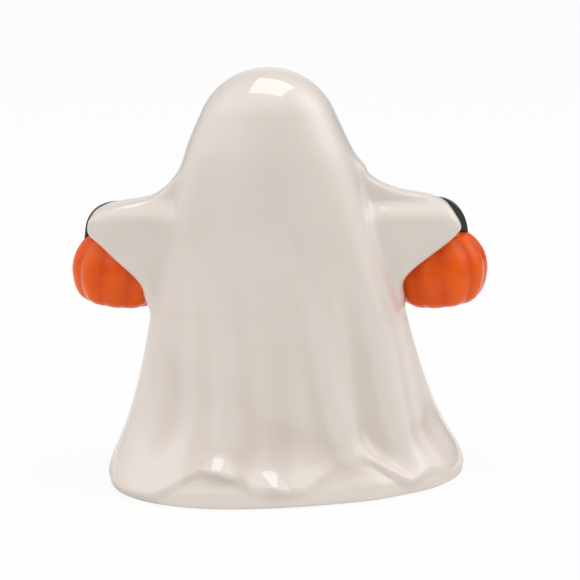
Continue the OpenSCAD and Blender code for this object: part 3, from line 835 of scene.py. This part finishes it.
def arm_seat(skin, side):
    """Closed stretch of the casting round one arm, grown by the glaze seam"""
    middle = 0.0 if side > 0 else math.pi
    half_turn = 1.05
    angle = middle + np.linspace(-half_turn, half_turn, 150)
    heights = np.linspace(skin.hem_top + EDGE, skin.crown_join - EDGE, 170)
    grid = skin.surface(angle[None, :], heights[:, None], SEAM)
    axis = skin.points(0.0, heights, 0.0)
    rows = np.concatenate([axis[:, None], grid], 1)
    count = rows.shape[1]
    last = count * (len(heights) - 1)
    faces = grid_faces(0, len(heights), count)
    faces += [tuple(range(count - 1, -1, -1)), tuple(range(last, last + count))]
    return add_piece("seat", rows, faces, finishes()["white_glaze"])


def pail_place(pails, figure, side, name):
    at = (side * getattr(pails, name + "_x"), -pails.forward, pails.foot + figure.pad_proud)
    return Matrix.Translation(at) @ Matrix.Rotation(-side * pails.tilt, 4, "Y")


def pail_section(pails):
    """Radius share and height share along a rib from the underside's middle to the mouth's middle"""
    lip = pails.mouth / pails.diameter
    edge = EDGE / pails.diameter
    floor = 1 - pails.mouth_depth / pails.height
    rows = [(0, 0)] + [(r, h) for h, r in PAIL]
    rows += [
        (lip + edge * 1.1, 1 - edge * 0.15), (lip + edge * 0.5, 1), (lip + edge * 0.1, 1 - edge * 0.4),
        (lip, 1 - edge * 1.4), (lip * 0.97, floor + edge * 5), (lip * 0.9, floor + edge * 1.6),
        (lip * 0.7, floor), (0, floor),
    ]
    lengths = [0]
    for (r0, h0), (r1, h1) in zip(rows, rows[1:]):
        step = math.hypot((r1 - r0) * pails.diameter / 2, (h1 - h0) * pails.height)
        lengths.append(lengths[-1] + step)
    return [(length / lengths[-1], r, h) for length, (r, h) in zip(lengths, rows)]


class Tree(Group):
    """A geometry node group that builds a mesh from its sizes"""

    def __init__(self, name, sizes):
        super().__init__(name, "GeometryNodeTree", sizes, {"Geometry": "NodeSocketGeometry"})

    def combine(self, x, y, z):
        return self.output("ShaderNodeCombineXYZ", {0: x, 1: y, 2: z})

    def finish(self, mesh, finish):
        """Pass out the mesh as one closed, smooth surface with its finish"""
        real = self.output("GeometryNodeRealizeInstances", {"Geometry": mesh})
        joined = self.output("GeometryNodeMergeByDistance", {"Geometry": real, "Distance": MERGE})
        smooth = self.output("GeometryNodeSetShadeSmooth", {"Geometry": joined})
        done = self.output("GeometryNodeSetMaterial", {"Geometry": smooth, "Material": finish})
        self.put(self.result["Geometry"], done)

    def build(self, name, sizes):
        mesh = bpy.data.meshes.new(name)
        piece = bpy.data.objects.new(name, mesh)
        bpy.context.scene.collection.objects.link(piece)
        modifier = piece.modifiers.new(self.tree.name, "NODES")
        modifier.node_group = self.tree
        for label, value in sizes.items():
            modifier[self.ids[label]] = value
        return settled(piece)


def rib_tree(section):
    """One rib by its section, repeated round the pail"""
    tree = Tree("ribbed_pail", {
        "Radius": 0.018, "Height": 0.026, "Ribs": 10, "Rib Depth": 0.0011, "Rib Turn": 0.0,
        "Across": 25, "Along": 130,
    })
    given = tree.given
    grid = tree.output("GeometryNodeMeshGrid", {
        "Size X": 1.0, "Size Y": 1.0, "Vertices X": given["Across"], "Vertices Y": given["Along"],
    })
    place = tree.output("GeometryNodeInputPosition")
    split = tree.node("ShaderNodeSeparateXYZ", {0: place}).outputs
    along = tree.math("ADD", split[1], 0.5)
    shares = []
    for column in (1, 2):
        curve = tree.node("ShaderNodeFloatCurve", {"Value": along})
        points = curve.mapping.curves[0].points
        for i, row in enumerate(section):
            point = points[i] if i < 2 else points.new(*row[::2])
            point.location = (row[0], row[column])
            point.handle_type = "AUTO_CLAMPED"
        curve.mapping.update()
        shares.append(curve.outputs[0])
    turn = tree.math("DIVIDE", 2 * math.pi, given["Ribs"])
    angle = tree.math("MULTIPLY", split[0], turn)
    wave = tree.math("COSINE", tree.math("MULTIPLY", split[0], math.pi))
    wave = tree.math("SQRT", tree.math("MULTIPLY_ADD", wave, wave, GROOVE_SOFTNESS))
    groove = tree.math("SUBTRACT", 1.0, wave)
    fade = tree.output("ShaderNodeMapRange", {
        "Value": shares[0], "From Min": RIB_START, "From Max": RIB_FULL,
    }, interpolation_type="SMOOTHSTEP")
    depth = tree.math("MULTIPLY", tree.math("MULTIPLY", groove, fade), given["Rib Depth"])
    radius = tree.math("SUBTRACT", tree.math("MULTIPLY", shares[0], given["Radius"]), depth)
    position = tree.combine(
        tree.math("MULTIPLY", radius, tree.math("COSINE", angle)),
        tree.math("MULTIPLY", radius, tree.math("SINE", angle)),
        tree.math("MULTIPLY", shares[1], given["Height"]),
    )
    marked = tree.output("GeometryNodeStoreNamedAttribute", {
        "Geometry": grid, "Name": "groove", "Value": tree.math("MULTIPLY", groove, fade),
    })
    rib = tree.output("GeometryNodeSetPosition", {"Geometry": marked, "Position": position})
    spots = tree.output("GeometryNodePoints", {"Count": given["Ribs"]})
    index = tree.output("GeometryNodeInputIndex")
    turned = tree.math("ADD", tree.math("MULTIPLY", index, turn), given["Rib Turn"])
    ribs = tree.output("GeometryNodeInstanceOnPoints", {
        "Points": spots, "Instance": rib, "Rotation": tree.combine(0.0, 0.0, turned),
    })
    tree.finish(ribs, finishes()["orange_glaze"])
    return tree


def strap_tree():
    """A rounded flat strap along its arch, with legs that reach into the pail"""
    tree = Tree("strap", {
        "Reach": 0.014, "Rise": 0.012, "Bow": 2.0, "Thickness": 0.003, "Width": 0.004, "Drop": 0.004,
        "Steps": 120,
    })
    given = tree.given
    line = tree.output("GeometryNodeCurvePrimitiveLine")
    path = tree.output("GeometryNodeResampleCurve", {"Curve": line, "Count": given["Steps"]})
    along = tree.node("GeometryNodeSplineParameter").outputs["Factor"]
    arc = tree.output("ShaderNodeMapRange", {
        "Value": along, "From Min": STRAP_LEG, "From Max": 1 - STRAP_LEG,
    })
    angle = tree.math("MULTIPLY", arc, math.pi)
    power = tree.math("DIVIDE", 2.0, given["Bow"])
    cosine = tree.math("COSINE", angle)
    across = tree.math("POWER", tree.math("ABSOLUTE", cosine), power)
    across = tree.math("MULTIPLY", across, tree.math("SIGN", cosine))
    up = tree.math("POWER", tree.math("ABSOLUTE", tree.math("SINE", angle)), power)
    half = tree.math("MULTIPLY", given["Thickness"], 0.5)
    x = tree.math("MULTIPLY", across, tree.math("SUBTRACT", given["Reach"], half))
    z = tree.math("MULTIPLY", up, tree.math("SUBTRACT", given["Rise"], half))
    near = tree.math("MINIMUM", along, tree.math("SUBTRACT", 1.0, along))
    leg = tree.output("ShaderNodeMapRange", {"Value": near, "From Min": STRAP_LEG, "From Max": 0.0})
    z = tree.math("SUBTRACT", z, tree.math("MULTIPLY", leg, given["Drop"]))
    arch = tree.output("GeometryNodeSetPosition", {"Geometry": path, "Position": tree.combine(x, 0.0, z)})
    facing = tree.output("GeometryNodeSetCurveNormal", {"Curve": arch, "Normal": (0, 1, 0)}, mode="FREE")
    square = tree.output("GeometryNodeCurvePrimitiveQuadrilateral", {
        "Width": given["Width"], "Height": given["Thickness"],
    })
    corner = tree.math("MULTIPLY", given["Thickness"], 0.3)
    rounded = tree.output("GeometryNodeFilletCurve", {
        "Curve": square, "Radius": corner, "Count": 4,
    }, mode="POLY")
    band = tree.output("GeometryNodeCurveToMesh", {
        "Curve": facing, "Profile Curve": rounded, "Fill Caps": True,
    })
    tree.finish(band, finishes()["black_glaze"])
    return tree


def place_mesh(piece, matrix):
    piece.data.transform(matrix)
    piece.data.update()


class GHOST_OT_pails(bpy.types.Operator):
    """Build the two ribbed pails and their straps, seated against the arms"""

    bl_idname = "ghost.pails"
    bl_label = "Pails and straps"

    def execute(self, context):
        figure = context.scene.ghost_figure
        pails = context.scene.ghost_pails
        skin = Skin(figure)
        ribs = rib_tree(pail_section(pails))
        arches = strap_tree()
        for side, name in SIDES:
            place = pail_place(pails, figure, side, name)
            seat = arm_seat(skin, side)
            pail = ribs.build(name + "_pumpkin", {
                "Radius": pails.diameter / 2, "Height": pails.height, "Ribs": pails.rib_count,
                "Rib Depth": pails.rib_depth, "Rib Turn": getattr(pails, name + "_rib_turn"),
            })
            place_mesh(pail, place)
            sizes = {"Width": pails.strap_width, "Drop": pails.strap_drop}
            for size in ("Reach", "Rise", "Bow", "Thickness"):
                sizes[size] = getattr(pails, name + "_strap_" + size.lower())
            strap = arches.build(name + "_strap", sizes)
            place_mesh(strap, place @ Matrix.Translation((0, -pails.strap_width / 4, pails.height)))
            cut_away(strap, pail, seat)
            cut_away(pail, seat)
            drop(seat)
            dress(pail, "orange_glaze", name + "_pail")
            dress(strap, "black_glaze", name + "_pail_handle")
        return {"FINISHED"}


def domed(relief, edge_share):
    """Height of a raised detail, from its seam at the rim (share 0) to its full relief (share 1)"""
    return SEAM + (relief - SEAM) * np.sqrt(1 - (1 - np.clip(edge_share, 0, 1)) ** 2)


def domed_patch(across, up, skin_point, relief):
    """A raised patch with a rounded edge: across and up run over its outline from edge to edge"""
    rows, count = across.shape
    j, i = np.indices((rows, count))
    rim = np.minimum.reduce([j, rows - 1 - j, i, count - 1 - i])
    proud = domed(relief, rim / 4)
    top = skin_point(across, up, proud)
    bottom = skin_point(across, up, np.full_like(proud, SEAM / 2))
    first = rows * count
    index = np.arange(first).reshape(rows, count)
    faces = []
    for a in index[:-1, :-1].ravel().tolist():
        faces.append((a, a + 1, a + count + 1, a + count))
        faces.append((first + a, first + a + count, first + a + count + 1, first + a + 1))
    edge = np.concatenate([index[0], index[1:, -1], index[-1, -2::-1], index[-2:0:-1, 0]]).tolist()
    for a, b in zip(edge, edge[1:] + edge[:1]):
        faces.append((a, first + a, first + b, b))
    return np.concatenate([top.reshape(-1, 3), bottom.reshape(-1, 3)]), flipped(faces)


class GHOST_OT_face(bpy.types.Operator):
    """Build the ghost's black eyes and mouth"""

    bl_idname = "ghost.face"
    bl_label = "Face"

    def execute(self, context):
        face = context.scene.ghost_face
        skin = Skin(context.scene.ghost_figure)
        ovals = (
            ("left_eye", FRONT + face.eye_turn, face.eye_z, face.eye_width, face.eye_height),
            ("right_eye", FRONT - face.eye_turn, face.eye_z, face.eye_width, face.eye_height),
            ("mouth", FRONT, face.mouth_z, face.mouth_width, face.mouth_height),
        )
        count = 64
        spokes = 2 * math.pi * np.arange(count) / count
        rings = np.array([1, 0.985, 0.955, 0.91, 0.85, 0.75, 0.6, 0.4, 0.2])
        proud = np.concatenate([[SEAM / 2], domed(face.relief, (1 - rings) / 0.2)])
        shares = np.concatenate([[1], rings])
        for name, angle, z, width, height in ovals:
            half = width / 2 / float(skin.radius(np.array(angle), np.array(z)))
            angles = angle + half * shares[:, None] * np.cos(spokes)
            heights = z + height / 2 * shares[:, None] * np.sin(spokes)
            top = skin.surface(angles, heights, proud[:, None])
            tips = skin.surface(np.full(2, angle), np.full(2, z), np.array([face.relief, SEAM / 2]))
            rows = len(shares)
            points = np.concatenate([top.reshape(-1, 3), tips])
            faces = dome_faces(0, rows, count) + flipped(fan_faces(0, count, rows * count + 1))
            piece = add_piece(name + "_glaze", points, faces, finishes()["black_glaze"])
            dress(piece, "black_glaze", name)
        return {"FINISHED"}


def pail_skin(pails, place, rib_turn, angle, share, proud):
    """Points on a pail's ribbed skin at angles and shares of its height"""
    radius_share = through(PAIL, share)
    rib = 1 - np.sqrt(np.cos((angle - rib_turn) * pails.rib_count / 2) ** 2 + GROOVE_SOFTNESS)
    rib = rib * ease((radius_share - RIB_START) / (RIB_FULL - RIB_START))
    radius = pails.diameter / 2 * radius_share - pails.rib_depth * rib + proud
    matrix = np.array(place)
    return placed(radius, angle, share * pails.height) @ matrix[:3, :3].T + matrix[:3, 3]


class GHOST_OT_pail_faces(bpy.types.Operator):
    """Build the black eyes and grins on the pails"""

    bl_idname = "ghost.pail_faces"
    bl_label = "Pail faces"

    def execute(self, context):
        figure = context.scene.ghost_figure
        pails = context.scene.ghost_pails
        face = context.scene.ghost_face
        for side, name in SIDES:
            place = pail_place(pails, figure, side, name)
            rib_turn = getattr(pails, name + "_rib_turn")

            def skin_point(across, up, proud):
                angle = FRONT + across / (pails.diameter / 2)
                return pail_skin(pails, place, rib_turn, angle, (face.carve_z + up) / pails.height, proud)

            share = np.linspace(0, 1, 13)[None, :]
            points, faces = join_patches([
                domed_patch(across * np.ones_like(share), lerp(low, high, share), skin_point, face.relief)
                for across, low, high in self.outlines(face)
            ])
            piece = add_piece(name + "_pail_carving", points, faces, finishes()["black_glaze"])
            dress(piece, "black_glaze", name + "_pail_face")
        return {"FINISHED"}

    @staticmethod
    def outlines(face):
        """Each eye, then the grin: places across it, with its lower and its upper edge there"""
        t = np.linspace(-1, 1, 41)[:, None]
        for way in (-1, 1):
            peak = face.carve_height * np.maximum(1 - np.abs(t), 0.02)
            yield face.carve_width / 4 * (way + t * EYE_SPAN), np.zeros_like(t), peak
        t = np.linspace(-1, 1, 121)[:, None]
        tooth = GRIN[3] * ease((np.abs(t) - TEETH[0]) / (TEETH[1] - TEETH[0]))
        tooth = tooth * ease((TEETH[3] - np.abs(t)) / (TEETH[3] - TEETH[2]))
        jaw = face.carve_height * (t * t - GRIN[0])
        lip = jaw + face.carve_height * (GRIN[1] - t * t * GRIN[2] - tooth)
        yield face.carve_width / 2 * t, jaw, lip


class GHOST_OT_pads(bpy.types.Operator):
    """Build the felt pads under the foot"""

    bl_idname = "ghost.pads"
    bl_label = "Felt pads"

    def execute(self, context):
        low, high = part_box("foot_pads")
        figure = context.scene.ghost_figure
        radius = figure.pad_diameter / 2
        pad_x = figure.skirt_width / 2 - figure.pad_inset
        pad_y = figure.skirt_depth / 2 - figure.pad_inset
        turn = Matrix.Rotation(figure.skirt_turn, 4, "Z")
        # The worn edge from the floor up: share of the radius and height
        worn = (
            (0.97, low.z), (0.995, low.z + 0.0002), (1, low.z + 0.0006), (0.995, high.z - 0.0003),
            (0.97, high.z),
        )
        rng = np.random.default_rng(7)
        count = 96
        spokes = 2 * math.pi * np.arange(count) / count
        faces = dome_faces(0, len(worn), count) + flipped(fan_faces(0, count, len(worn) * count + 1))
        pads = []
        for x in (-pad_x, pad_x):
            for y in (-pad_y, pad_y):
                ragged = 1 - 0.02 * rng.random(count)
                rings = [placed(radius * share * ragged, spokes, z) for share, z in worn]
                rings.append(np.array([[0, 0, high.z], [0, 0, low.z]]))
                pads.append((np.concatenate(rings) + [x, y, 0], faces))
        piece = add_piece("felt_discs", *join_patches(pads), finishes()["felt"])
        place_mesh(piece, turn)
        dress(piece, "felt", "foot_pads")
        return {"FINISHED"}


def studio_world(settings):
    """Soft light from the studio's walls, behind a white picture"""
    world = bpy.data.worlds.new("studio")
    world.use_nodes = True
    bpy.context.scene.world = world
    walls = Nodes(world.node_tree)
    place = walls.node("ShaderNodeTexCoord").outputs["Generated"]
    total = 0.0
    for bearing, height, strength in WALLS:
        turn, rise = math.radians(bearing), math.radians(height)
        way = (-math.cos(rise) * math.sin(turn), math.cos(rise) * math.cos(turn), math.sin(rise))
        near = walls.node("ShaderNodeVectorMath", {0: place, 1: way}, operation="DOT_PRODUCT")
        glow = walls.math("MULTIPLY_ADD", near.outputs["Value"], WALL_FOCUS, -WALL_FOCUS)
        total = walls.math("MULTIPLY_ADD", walls.math("EXPONENT", glow), strength, total)
    room = world.node_tree.nodes["Background"]
    surface = world.node_tree.nodes["World Output"].inputs["Surface"]
    walls.put(room.inputs["Color"], ROOM_TINT)
    walls.put(room.inputs["Strength"], walls.math("MULTIPLY", total, settings.room))
    white = walls.output("ShaderNodeBackground", {"Color": (1, 1, 1, 1)})
    walls.white_to_camera(room.outputs[0], white, 1.0, surface)


def floor_finish():
    """A matt floor, nearly white to the camera so that only a faint shadow shows on it"""
    finish = Finish("floor")
    finish.surface({"Base Color": (0.86, 0.86, 0.85, 1), "Roughness": 0.8, "Specular IOR Level": 0})
    white = finish.output("ShaderNodeEmission")
    surface = finish.tree.nodes["Material Output"].inputs["Surface"]
    finish.white_to_camera(finish.shader.outputs[0], white, 0.92, surface)
    return finish.material


def soft_box(name, place, turn, width, depth, power):
    light = bpy.data.lights.new(name, "AREA")
    light.shape = "RECTANGLE"
    light.size = width
    light.size_y = depth
    light.energy = power
    made = bpy.data.objects.new(name, light)
    made.location = place
    made.rotation_euler.z = turn
    bpy.context.scene.collection.objects.link(made)


class GHOST_OT_studio(bpy.types.Operator):
    """Set up the floor, the lamp and the camera"""

    bl_idname = "ghost.studio"
    bl_label = "Studio"

    def execute(self, context):
        scene = context.scene
        settings = scene.ghost_studio
        scene.view_settings.view_transform = "Standard"
        studio_world(settings)
        half = 4.0
        corners = [(-half, -half, 0), (half, -half, 0), (half, half, 0), (-half, half, 0)]
        floor = add_piece("floor", corners, [(0, 1, 2, 3)], floor_finish())

        soft_box("top_box", TOP_BOX_PLACE, TOP_BOX_TURN, *TOP_BOX_SIZE, settings.key_power)
        camera = bpy.data.cameras.new("camera")
        camera.lens = settings.lens
        camera.sensor_width = 36
        camera.clip_start = 0.01
        made = bpy.data.objects.new("camera", camera)
        scene.collection.objects.link(made)
        rise = settings.elevation
        back = settings.distance * math.cos(rise)
        made.location = (settings.aim_x, back, settings.aim_z + settings.distance * math.sin(rise))
        made.rotation_euler = (math.pi / 2 - rise, 0, math.pi)
        scene.camera = made
        return {"FINISHED"}


class GHOST_PT_figure(bpy.types.Panel):
    """Lists the steps that build the figure"""

    bl_label = "Ceramic Ghost"
    bl_idname = "GHOST_PT_figure"
    bl_space_type = "VIEW_3D"
    bl_region_type = "UI"
    bl_category = "Ceramic Ghost"

    def draw(self, context):
        for operator in OPERATORS:
            self.layout.operator(operator.bl_idname)
        for group, _ in GROUPS:
            settings = getattr(context.scene, group)
            column = self.layout.column()
            for name in settings.__annotations__:
                column.prop(settings, name)


OPERATORS = (
    GHOST_OT_casting, GHOST_OT_base, GHOST_OT_pails, GHOST_OT_face, GHOST_OT_pail_faces, GHOST_OT_pads,
    GHOST_OT_studio,
)
GROUPS = (
    ("ghost_figure", FigureShape), ("ghost_pails", PailShape), ("ghost_face", FaceShape),
    ("ghost_colours", GlazeColours), ("ghost_studio", StudioSettings),
)


def register():
    for name, group in GROUPS:
        bpy.utils.register_class(group)
        setattr(bpy.types.Scene, name, PointerProperty(type=group))
    for operator in OPERATORS:
        bpy.utils.register_class(operator)
    bpy.utils.register_class(GHOST_PT_figure)


def unregister():
    bpy.utils.unregister_class(GHOST_PT_figure)
    for operator in reversed(OPERATORS):
        bpy.utils.unregister_class(operator)
    for name, group in reversed(GROUPS):
        delattr(bpy.types.Scene, name)
        bpy.utils.unregister_class(group)


def main():
    register()
    for name in ("casting", "base_plate", "pails", "face", "pail_faces", "pads", "studio"):
        getattr(bpy.ops.ghost, name)()


if __name__ == "__main__":
    main()
